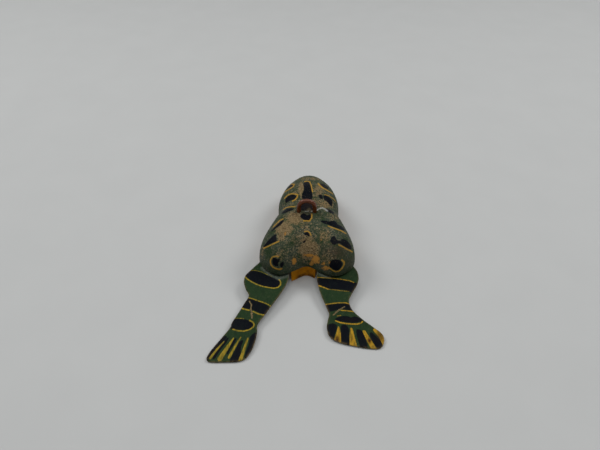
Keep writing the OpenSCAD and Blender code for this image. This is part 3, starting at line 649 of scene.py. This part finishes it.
RUSTY = [
    (0.8, -3.9, 2.6, 0.8, 1.1), (3.7, -5.4, 1.9, 2, 1.2), (-5.3, -6.3, 1, 1.9, 1.1),
    (8.1, -8.8, 2.4, 1.1, 1), (9.4, -6.6, 0.7, 1.3, 0.8), (-9.2, 4.4, 0.7, 1.3, 0.8),
    (2, -7.3, 1.2, 1.4, 0.9), (6.8, -7, 1.2, 0.9, 0.75), (3.8, 22, 0.8, 0.6, 0.6),
    (6, 2.5, 1.5, 0.9, 0.55)]
# Smoky stains; the strongest blot, at (0.3, 16.8), is painted shade inside the winder's bow
SMOKE_AND_LOOP_SHADE = [
    (11.8, -2.1, 5.2, 3.4, 0.8), (17.8, -6.2, 3.4, 3.4, 0.5), (-3, 1.1, 2.6, 2.6, 0.3),
    (15.9, 16.5, 3.4, 2.6, 0.3), (0.3, 16.8, 3.2, 2.8, 1.3)]
CHALKY = [
    ([(1.4, 14.7), (3.4, 15), (4.9, 16.1), (6.2, 16.5), (7.4, 15.9), (8.3, 15.2)], 0.35, 0.8),
    ([(-1.4, 14.7), (-0.7, 14.5), (0.2, 14.8)], 0.15, 0.2)]


def back_marks(places):
    """The painted and worn marks of the back at each place."""
    faded_and_shaded = 0.1 + spot_distance(places, FADED_SPOTS_AND_LOOP_SHADE)
    smear_and_sheen = np.clip(0.5 - stroke_distance(places, CHALKY) / 0.3, 0, 1)
    return {"spot": np.minimum(spot_distance(places, BACK_SPOTS), faded_and_shaded),
            "stroke": stroke_distance(places, BACK_STROKES), "rubbed": blots(places, RUBBED),
            "rusty": blots(places, RUSTY), "smoke_and_shade": blots(places, SMOKE_AND_LOOP_SHADE), "smear_and_sheen": 0.75 * smear_and_sheen}


BACK_MASKS = {"Spot": "spot", "Line": "stroke", "Bare": "rubbed", "Rust": "rusty", "Smoke": "smoke_and_shade",
              "Smear And Sheen": "smear_and_sheen"}
back_paint = paint_finish("back_paint", BACK_MASKS, Grit=1.0, Fading=0.6)
outer = dome(rim_loop, OUTER_ROWS, DOME_H, RIM_Z)
outer[..., 2] = np.maximum(outer[..., 2], RIM_Z + BEND_R)
bend = [(BEND_R * (1 - np.cos(a)) + 0.02, RIM_Z + BEND_R * (1 - np.sin(a)))
        for a in np.linspace(0, np.pi / 2, 5)[1:]]
fold = [(HEM - 0.1, RIM_Z), (HEM, RIM_Z + 0.1), (HEM, RIM_Z + SHEET - 0.1), (HEM - 0.1, RIM_Z + SHEET)]
hem = np.stack([np.column_stack([moved_in(rim_loop, distance), np.full(len(rim_loop), z)])
                for distance, z in bend + fold])
inner = dome(moved_in(rim_loop, SHEET), INNER_ROWS, DOME_H - 2 * SHEET, RIM_Z + SHEET)[::-1]
shell = np.concatenate([outer, hem, inner])
index = numbered(shell)
painted = back_marks(steep_paint_place(outer).reshape(-1, 2))
plain = np.ones(index.size - len(painted["spot"]))
marks = {label: np.concatenate([values, plain * (FAR if label in ("spot", "stroke") else 0)])
         for label, values in painted.items()}
make_piece("painted_back", shell.reshape(-1, 3), [grid_faces(index, wrap_rows=True)], marks,
           back_paint, "frame", "back_shell", "back_shell")


# ---------------------------------------------------------------------------
# Hind legs: two flat tin plates of different outline. Each one's root is rolled into an eye
# round the hip shaft. They are painted green, with banded thighs and striped toes.

LEG_T = 0.8
SHAFT_R = 1.0
EDGE_R = 0.35           # width over which a leg's edge is rounded
CROWN = 0.22            # how far a leg is arched across
LOOP_STEPS = 8          # points between two corners of a leg's outline
LEFT_LOOP = [
    (-18.4, 0.4), (-21.2, 2.6), (-23.6, 5.6), (-25.6, 8.4), (-26, 11.5), (-24.7, 15.4), (-23.2, 18.4),
    (-24.6, 21.9), (-26.3, 26), (-28.4, 30.6), (-29, 33.1), (-31.6, 37.4), (-35.4, 43.8), (-35.2, 46.8),
    (-29, 46.9), (-23.1, 46.2), (-20.4, 43.6), (-18.8, 39), (-18.3, 34.6), (-18.4, 31.2), (-15.6, 26.2),
    (-12.4, 20.6), (-9.9, 16.1), (-8, 11.5), (-7.3, 7.4), (-7.6, 3.2), (-8.2, 0.4)]
RIGHT_LOOP = [
    (17.6, 0.4), (20.2, 2.9), (21.5, 5.6), (21.8, 8.4), (20.9, 11.8), (18.9, 15.5), (17.4, 19.3),
    (18.6, 23.4), (22.2, 27.2), (26.1, 30.4), (29.6, 33.5), (30, 36.6), (28.4, 39.2), (24.6, 39.5),
    (17.7, 38.5), (12.2, 37), (9.3, 34.9), (8.4, 31.4), (8.7, 28.4), (9.3, 25.6), (8.4, 22.9), (6.6, 18.2),
    (5.2, 14), (4.4, 9.4), (4.2, 5.2), (4.8, 2.6), (5, 0.4)]


def along_line(line, shares):
    """Points at shares of a line's length."""
    length = np.concatenate([[0], np.cumsum(np.linalg.norm(np.diff(line, axis=0), axis=1))])
    return np.stack([np.interp(shares * length[-1], length, line[:, k]) for k in range(2)], -1)


def leg_patch(curve, first, last, end, down, across):
    """A Coons patch over a leg: the blend of its two long sides, plus the blend of its hip and toe
    edges, minus the blend of its four corners."""
    side_a = along_line(curve[:first + 1], down)
    side_b = along_line(curve[last:end + 1][::-1], down)
    toes = along_line(curve[first:last + 1], across)
    u, v = down[:, None, None], across[None, :, None]
    hip = (1 - v) * side_a[0] + v * side_b[0]
    corners = (1 - u) * hip + u * ((1 - v) * side_a[-1] + v * side_b[-1])
    return (1 - v) * side_a[:, None] + v * side_b[:, None] + (1 - u) * hip + u * toes[None] - corners


def leg_plate(patch, reach):
    """Two skins that meet along the outline. Half the thickness falls off as a quarter circle at
    the edge. A shallow arch across the plate levels out 2.5 mm or so inside its edge and comes
    in over the 8 mm behind the hip. The plate is tilted about the hip shaft until its toes
    touch the table. Its paint has worn off within 0.18 mm or so of the edge."""
    flat = patch.reshape(-1, 2)
    border = np.concatenate([patch[:, 0], patch[-1, 1:], patch[::-1, -1][1:], patch[0, ::-1][1:-1]])
    inwards = to_segments(flat, border, np.roll(border, -1, 0))[0].min(1)
    half = 0.5 * LEG_T * np.sqrt(1 - (1 - np.clip(inwards / EDGE_R, 0, 1)) ** 2)
    crown = CROWN * (1 - np.exp(-inwards / 2.5)) * np.clip(-flat[:, 1] / 8, 0, 1)
    index = numbered(patch)
    under = np.where(inwards.reshape(index.shape) < 1e-6, index, index + index.size)
    x, y = np.tile(flat, (2, 1)).T
    z = np.concatenate([crown + half, crown - half])
    tilt = np.arcsin(HIP[2] / np.hypot(reach, LEG_T / 2)) - np.arctan2(LEG_T / 2, reach)
    turned = np.stack([x, y * np.cos(tilt) - z * np.sin(tilt), y * np.sin(tilt) + z * np.cos(tilt)], -1)
    edges = np.exp(-inwards / 0.18)
    faces = [grid_faces(index, wrap_columns=False), grid_faces(under, wrap_columns=False)[:, ::-1]]
    return turned + HIP, faces, np.tile(edges, 2)


def rolled_eye(start, end):
    """The rolled eye: a wall's section carried round the shaft, with a groove underneath, 0.3 mm
    deep at 4.2 radians, where the sheet's edge comes back to the plate."""
    outer_r, corner, bevel, rows = SHAFT_R + LEG_T, 0.2, 0.06, 24
    x = np.concatenate([np.linspace(start + corner, end - corner, rows),
                        [end - bevel, end, end, start, start, start + bevel]])
    r = np.concatenate([np.full(rows, outer_r), [outer_r - bevel, outer_r - corner, SHAFT_R, SHAFT_R,
                                                 outer_r - corner, outer_r - bevel]])
    angle = np.linspace(0, 2 * np.pi, 64, endpoint=False)[:, None]
    groove = 0.3 * np.exp(-((angle - 4.2) / 0.07) ** 2)
    radius = r[None] - groove * (r[None] > SHAFT_R + 0.1)
    ring = np.stack([np.broadcast_to(x, radius.shape), radius * np.cos(angle), radius * np.sin(angle)], -1)
    return ring.reshape(-1, 3) + HIP, grid_faces(numbered(ring), wrap_rows=True)


def leg_marks(places, spots, strokes, scratches, painted_sheen, dabs):
    """A leg's painted and worn marks at each place in plan. A scratch's edge is 0.25 mm soft and
    takes the black with it; the painted sheen is a painted highlight, a pale haze whose edge is 1.2 mm
    soft."""
    bare = np.clip(1 - (0.1 + stroke_distance(places, scratches)) / 0.25, 0, 1)
    painted_highlight = np.clip(0.5 - stroke_distance(places, [painted_sheen]) / 1.2, 0, 1)
    return {"spot": np.maximum(spot_distance(places, spots), 0.6 * bare - 0.2),
            "stroke": stroke_distance(places, strokes), "rubbed": bare,
            "smoke_and_shade": blots(places, dabs), "smear_and_sheen": 0.3 * painted_highlight}


def make_leg(name, loop, toe_corners, eye, drawn, material, node):
    """A leg: its plate and its rolled eye in one piece, with its marks on the upper face. Rows and
    columns crowd together at the outline, where the edge is rounded."""
    loop = [(x, -y) for x, y in loop]
    first, last, end = (LOOP_STEPS * corner for corner in (*toe_corners, len(loop) - 1))
    margin = np.array([0, 0.0012, 0.004, 0.009, 0.015])
    down = np.unique(np.concatenate([[0], np.linspace(0.01, 0.985, 150), 1 - margin[::-1]]))
    across = np.concatenate([2 * margin, np.linspace(0.045, 0.955, 52), 1 - 2 * margin[::-1]])
    patch = leg_patch(smooth_loop(loop, LOOP_STEPS), first, last, end, down, across)
    plate, faces, edges = leg_plate(patch, -smooth_loop(loop, 4)[:, 1].min())
    eye_points, eye_faces = rolled_eye(*eye)
    points = np.concatenate([plate, eye_points])
    upper = np.arange(len(points)) < len(plate) // 2
    marks = {label: np.where(upper, values, FAR if label in ("spot", "stroke") else 0.0)
             for label, values in leg_marks(points[:, :2], *drawn).items()}
    marks["edge"] = np.concatenate([edges, np.zeros(len(eye_points))])
    make_piece(name, points, faces + [eye_faces + len(plate)], marks, material, "legs", node, node)


LEFT_SPOTS = [
    [(-26, -23), (-25.1, -21.7), (-23.7, -20.8), (-22.2, -20.9), (-19.6, -21.7), (-17, -23), (-14.4, -24),
     (-12.2, -25), (-11.1, -26.1), (-10.9, -27.3), (-11.8, -28.5), (-13.4, -29), (-16.1, -28.6),
     (-18.7, -27.9), (-21.2, -26.7), (-23.2, -25.5), (-24.8, -24.1)],
    [(-24.6, -34.6), (-23.1, -34.3), (-21.3, -34.9), (-18.8, -35.7), (-16.7, -36.6), (-14.8, -37.8),
     (-14.5, -38.7), (-15.2, -40), (-15.9, -41.2), (-17.9, -40.8), (-20.4, -39.7), (-22.4, -39.2),
     (-24.5, -38.6), (-25.9, -38.3), (-25.3, -36.5)],
    [(-28.9, -46.8), (-28.5, -44.4), (-27.4, -43.6), (-25.8, -43.7), (-23.5, -43.9), (-21.6, -44.5),
     (-20.2, -45.8), (-20.4, -46.9), (-21.7, -47.9), (-23.7, -48.3), (-26.1, -48.2), (-28.2, -48)],
    [(-35.7, -61.1), (-36, -58), (-34.5, -55.8), (-32.6, -53.3), (-30.6, -51.2), (-29.6, -51.6),
     (-31, -53.9), (-32.6, -56.2), (-34, -58.6), (-35, -60.5)],
    [(-28.8, -51.8), (-29.5, -53.9), (-31.2, -56.7), (-32.7, -59.9), (-33.6, -60.1), (-32.1, -56.9),
     (-30.6, -54.3), (-29.7, -52.4)],
    [(-25.8, -52.1), (-26.5, -54.4), (-27.6, -56.6), (-28.2, -58.2), (-28.6, -57.8), (-27.6, -55.4),
     (-26.7, -52.5)],
    [(-23.2, -52.8), (-23.7, -55.3), (-23.6, -57.7), (-23.4, -60.9), (-27, -61.1), (-26.3, -58.5),
     (-25.3, -55.7), (-24.3, -53.3)],
    [(-20.6, -51.1), (-18.5, -49.2), (-18.1, -52.7), (-19, -55.7), (-20, -58.5), (-21.7, -59.7),
     (-21.5, -56.8), (-20.8, -54)]]
LEFT_STROKES = [
    ([(-26.2, -23.4), (-24.7, -25), (-22.9, -26.3), (-20.8, -27.5), (-18.2, -28.5), (-15.7, -29),
      (-13.2, -29.3), (-11.6, -28.8), (-10.6, -27.5), (-10.6, -26.1), (-11.4, -25)], 0.5),
    ([(-24.8, -20.7), (-21.8, -20.6), (-19.2, -21.3), (-16.6, -22.6), (-14.4, -23.6)], 0.25),
    ([(-23.8, -33.8), (-21.7, -34.4), (-19.2, -35.4), (-16.7, -36.2), (-14.8, -37), (-13.9, -37.6)], 0.45),
    ([(-26.1, -38.5), (-24.4, -39.3), (-22.3, -39.8)], 0.55),
    ([(-20.7, -40.3), (-18.7, -41.2), (-17, -41.6), (-15.7, -41.6)], 0.5),
    ([(-27.6, -48.2), (-25.6, -48.8), (-23.3, -48.9), (-21.3, -48.2), (-20, -47.1), (-19.6, -46.1),
      (-20.2, -45), (-21.7, -44.2)], 0.5),
    ([(-27.8, -43.3), (-25.9, -43.4), (-23.9, -43.6)], 0.25),
    ([(-30.3, -53.3), (-32.5, -56.5), (-34.5, -60.1)], 0.4, 0.95),
    ([(-26.9, -51.9), (-28.4, -55), (-30.9, -60.2)], 0.4, 1.8),
    ([(-24.2, -51.4), (-25.6, -54.5), (-27.6, -59.6)], 0.4, 1),
    ([(-21.5, -51.8), (-22.3, -55.6), (-23.3, -60.4)], 0.6, 1.3)]
LEFT_SCRATCH = [
    ([(-22.6, -35.7), (-21.6, -37.3), (-21.7, -39.1), (-21.2, -40.9), (-20.8, -43.1)], 0.5)]
# Painted highlight: a pale sheen along the left thigh next to the body, where the glossy leg curves down
LEFT_PAINTED_SHEEN = ([(-18.8, -19.4), (-15.5, -22.3), (-11.5, -24.4), (-7.6, -22.6)], 1.2, 1.4)
RIGHT_SPOTS = [
    [(3.3, -23.8), (5.6, -23.6), (8.1, -24), (11.4, -24.1), (14.8, -24.4), (18, -25.1), (21.5, -25.8),
     (20.6, -27.8), (19.1, -30), (16.3, -29.1), (13, -28.8), (9.7, -28.6), (7.3, -27.7), (4, -26.4)],
    [(7.3, -36.2), (10.1, -35.9), (12.9, -35.6), (15.7, -35.3), (17.7, -35.6), (18.6, -37.1),
     (19.2, -38.1), (16.4, -38), (14.8, -37.9), (14.4, -37.4), (13.2, -37.7), (11.6, -38.5), (8.5, -38.8)],
    [(11.6, -42.4), (12.8, -41.5), (14.7, -41), (16.7, -41), (17.8, -41.5), (19.2, -41), (21, -41.4),
     (22.1, -42.5), (20.9, -43.1), (19.5, -43.5), (17.4, -43.6), (15, -43.3), (12.9, -43)],
    [(7.8, -47.3), (8.5, -45), (10.6, -44.2), (12.1, -44.9), (12, -46.6), (11.3, -48.8), (10.6, -51.3),
     (9, -50.6), (8.1, -49.2)],
    [(13.9, -45.2), (15.7, -44.7), (16.7, -46.2), (16.8, -48.7), (16.6, -53.2), (14.5, -53.2),
     (13.9, -51.2), (13.8, -48.4)],
    [(19.8, -46.6), (21.5, -46.8), (22.5, -48.8), (23.2, -51.2), (23.4, -54.3), (21.4, -54.4),
     (20.4, -51.4), (19.8, -49)],
    [(25.2, -47.4), (27.4, -49.4), (29.1, -51.2), (30.1, -52.9), (28.9, -54.9), (27, -54.9), (26, -51.9),
     (24.9, -49.2)]]
RIGHT_STROKES = [
    ([(3.9, -23.1), (8.1, -23.4), (11.4, -23.6), (14.8, -24), (18.1, -24.6), (19.7, -25.3)], 0.35),
    ([(4.2, -26.8), (6.9, -27.9), (8.9, -28.8)], 0.5),
    ([(8.9, -28.8), (12.2, -29.2), (15.4, -29.5), (17.5, -29.6)], 0.22),
    ([(7.5, -35.9), (10.1, -35.5), (12.9, -35.1), (15.7, -34.9), (17.3, -35.3)], 0.4),
    ([(14, -38.4), (16.4, -38.5), (19.3, -38.7)], 0.4),
    ([(11.8, -43), (13.5, -43.7), (15.8, -44.1), (18.1, -44.2), (20, -44.2), (21.6, -43.7), (22.3, -42.9)],
      0.5),
    ([(12.4, -40.9), (13.9, -40.6)], 0.3),
    ([(12.9, -45.6), (12.8, -48.4), (12.2, -52.3)], 0.5, 3),
    ([(17.8, -46.2), (17.9, -49.1), (18.3, -53.8)], 0.8, 2.9),
    ([(22.6, -47.2), (24, -50.3), (26, -54.2)], 1.1, 2),
    ([(26.8, -46.4), (28.9, -48.8), (30.5, -52.4)], 1.4, 2.1)]
RIGHT_SCRATCH = [
    ([(15.5, -36.7), (13.6, -37.9), (11, -40.4)], 0.45)]
# Painted highlight: a pale sheen along the right thigh next to the body, where the glossy leg curves down
RIGHT_PAINTED_SHEEN = ([(4.4, -20.6), (6.6, -22.2), (10, -22.9)], 1.6, 0.8)
RIGHT_DABS = [
    (12.3, -50.8, 0.9, 1.5, 1.6), (24.4, -50.8, 0.8, 1.1, 1.5), (28.7, -49.2, 1.5, 2.6, 1),
    (17.5, -42.2, 2.6, 0.7, 0.6), (17.9, -50.5, 0.5, 1.2, 0.6)]
LEG_MASKS = {"Spot": "spot", "Line": "stroke", "Bare": "rubbed", "Smoke": "smoke_and_shade", "Edge": "edge",
             "Smear And Sheen": "smear_and_sheen"}
LEG_COLOURS = dict(Ground=(0.016, 0.038, 0.013), Ground_Worn=(0.028, 0.050, 0.022), Grit=0.3,
                   Fading=0.35, Brushed=0.6, Smoke_Color=(0.045, 0.014, 0.004))
left_paint = paint_finish("left_leg_paint", LEG_MASKS, Line_Color=(0.44, 0.30, 0.022), **LEG_COLOURS)
right_paint = paint_finish("right_leg_paint", LEG_MASKS, Line_Color=(0.60, 0.33, 0.018), **LEG_COLOURS)
make_leg("left_hind_leg", LEFT_LOOP, (13, 16), (-17.8, -8),
         (LEFT_SPOTS, LEFT_STROKES, LEFT_SCRATCH, LEFT_PAINTED_SHEEN, []), left_paint, "left_leg")
make_leg("right_hind_leg", RIGHT_LOOP, (12, 16), (5, 17.2),
         (RIGHT_SPOTS, RIGHT_STROKES, RIGHT_SCRATCH, RIGHT_PAINTED_SHEEN, RIGHT_DABS), right_paint, "right_leg")


# ---------------------------------------------------------------------------
# Winder's disc: a small tin cap over the hole in the back, soldered to the winding arbor
# and painted with the back, so that the pattern runs across it.

# The profile runs from the crown over a rounded edge and back under the disc
disc_low, disc_high = (corner.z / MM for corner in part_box("winder_disc"))
disc_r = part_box("winder_disc")[1].x / MM
crown_r, floor_r = np.linspace(0.25, disc_r - 0.25, 14), np.linspace(disc_r - 0.4, 0.25, 5)
profile_r = np.concatenate([crown_r, [disc_r - 0.08, disc_r, disc_r, disc_r - 0.1], floor_r])
profile_z = np.concatenate([disc_high - 0.14 * (crown_r / disc_r) ** 2,
                            [disc_high - 0.2, disc_high - 0.32, disc_low + 0.1, disc_low],
                            np.full(len(floor_r), disc_low)])
angle = np.linspace(0, 2 * np.pi, 72, endpoint=False)
rings = np.stack([profile_r[:, None] * np.cos(angle), profile_r[:, None] * np.sin(angle),
                  np.broadcast_to(profile_z[:, None], (len(profile_z), len(angle)))], -1)
points, faces = capped_stack(rings, (0, 0, disc_high), (0, 0, disc_low))
# The cap carries the back's marks, the painted shade inside the bow among them
make_piece("winder_cap", points, faces, back_marks(paint_place(points)), back_paint, "winder",
           "winder_disc", "winder_disc")


# ---------------------------------------------------------------------------
# Winder's bow: copper-coloured wire bent into an arch, with its ends through the cap. The
# lacquer on it has darkened to a glossy red brown.

LEG_ROWS = 13
bow_low, bow_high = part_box("winder_bow")
wire_r = (bow_high.y - bow_low.y) / 2 / MM
half_w = (bow_high.x - bow_low.x) / 2 / MM - wire_r
bow_x = (bow_high.x + bow_low.x) / 2 / MM
arch_z = bow_high.z / MM - wire_r - half_w
foot_z = bow_low.z / MM
# The wire's middle runs up one side, over a half circle and down the other, and its radius
# varies by about a hundredth
straight = np.linspace(foot_z, arch_z, LEG_ROWS + 1)[:-1]
sweep = np.linspace(0, np.pi, 41)
path = np.concatenate([np.column_stack([np.full(LEG_ROWS, half_w), straight]),
                       np.column_stack([half_w * np.cos(sweep), arch_z + half_w * np.sin(sweep)]),
                       np.column_stack([np.full(LEG_ROWS, -half_w), straight[::-1]])])
heading = np.gradient(path, axis=0)
heading /= np.linalg.norm(heading, axis=1)[:, None]
sideways = np.stack([heading[:, 1], -heading[:, 0]], -1)
swell = wire_r * (0.985 + 0.012 * np.sin(np.arange(len(path)) * 0.7))
angle = np.linspace(0, 2 * np.pi, 28, endpoint=False)
out = swell[:, None] * np.cos(angle)
rings = np.stack([bow_x + path[:, :1] + sideways[:, :1] * out, swell[:, None] * np.sin(angle),
                  path[:, 1:] + sideways[:, 1:] * out], -1)
points, faces = capped_stack(rings, (bow_x + half_w, 0, foot_z), (bow_x - half_w, 0, foot_z))
lacquer = finish(
    "bow_lacquer", worked_metal, {"Clean": (0.12, 0.026, 0.004, 1), "Tarnish": (0.02, 0.006, 0.002, 1),
                                  "Stain": 0.6, "Polish": 0.22}, {},
    {"Metallic": 0.1, "Coat Weight": 0.2, "Coat Roughness": 0.12})
make_piece("winder_loop", points, faces, {}, lacquer, "winder", "winder_bow", "winder_bow")


# ---------------------------------------------------------------------------
# Studio: a pale matt table top, an even pale surround, one broad soft lamp overhead and one
# at each side, and the camera behind and above the frog.

FLOOR_HALF = 4.0        # in metres
FLOOR_Z = -0.05 * MM    # just under the belly, so that the two never lie in one plane
LAMPS = [               # name, place and size in metres, power in watts
    ("lamp_over", (-0.05, -0.1, 1.0), 0.9, 3.0), ("lamp_left", (-0.58, 0.24, 0.68), 0.4, 2.6),
    ("lamp_right", (0.58, 0.24, 0.68), 0.4, 2.6)]
scene = bpy.context.scene


def facing(direction):
    """The rotation of a lamp or camera that looks along a direction."""
    return Vector(direction).to_track_quat("-Z", "Y").to_euler()


corners = [(x * FLOOR_HALF, y * FLOOR_HALF, FLOOR_Z) for x, y in ((-1, -1), (1, -1), (1, 1), (-1, 1))]
floor_mesh = bpy.data.meshes.new("table_top")
floor_mesh.from_pydata(corners, [], [(0, 1, 2, 3)])
floor = bpy.data.objects.new("table_top", floor_mesh)
scene.collection.objects.link(floor)
table_white, tree, shader = new_material("table_white")
cloud = grain(tree, add_node(tree, "TexCoord").outputs["Object"], scale=40.0, detail=4.0, roughness=0.5)
mottled = mix_colours(tree, cloud, (0.525, 0.532, 0.524, 1), (0.560, 0.567, 0.558, 1))
tree.links.new(mottled, shader.inputs["Base Color"])
shader.inputs["Roughness"].default_value = 0.75
shader.inputs["Specular IOR Level"].default_value = 0.2
floor_mesh.materials.append(table_white)

world = bpy.data.worlds.new("pale_surround")
world.use_nodes = True
surround = world.node_tree.nodes["Background"].inputs
surround["Color"].default_value = (0.95, 0.97, 1.0, 1)
surround["Strength"].default_value = 0.2
scene.world = world
for name, place, size, power in LAMPS:
    lamp = bpy.data.lights.new(name, "AREA")
    lamp.shape = "DISK"
    lamp.size = size
    lamp.energy = power
    holder = bpy.data.objects.new(name, lamp)
    holder.location = place
    holder.rotation_euler = facing([-along for along in place])
    scene.collection.objects.link(holder)

camera_data = bpy.data.cameras.new("camera")
camera_data.sensor_width = 36
camera_data.lens = 27.72
camera_data.clip_start = 0.005
camera = bpy.data.objects.new("camera", camera_data)
camera.location = (0.001452, -0.149495, 0.152254)
camera.rotation_euler = facing((-0.02425, 0.73095, -0.682))
scene.collection.objects.link(camera)
scene.camera = camera
scene.view_settings.view_transform = "Standard"
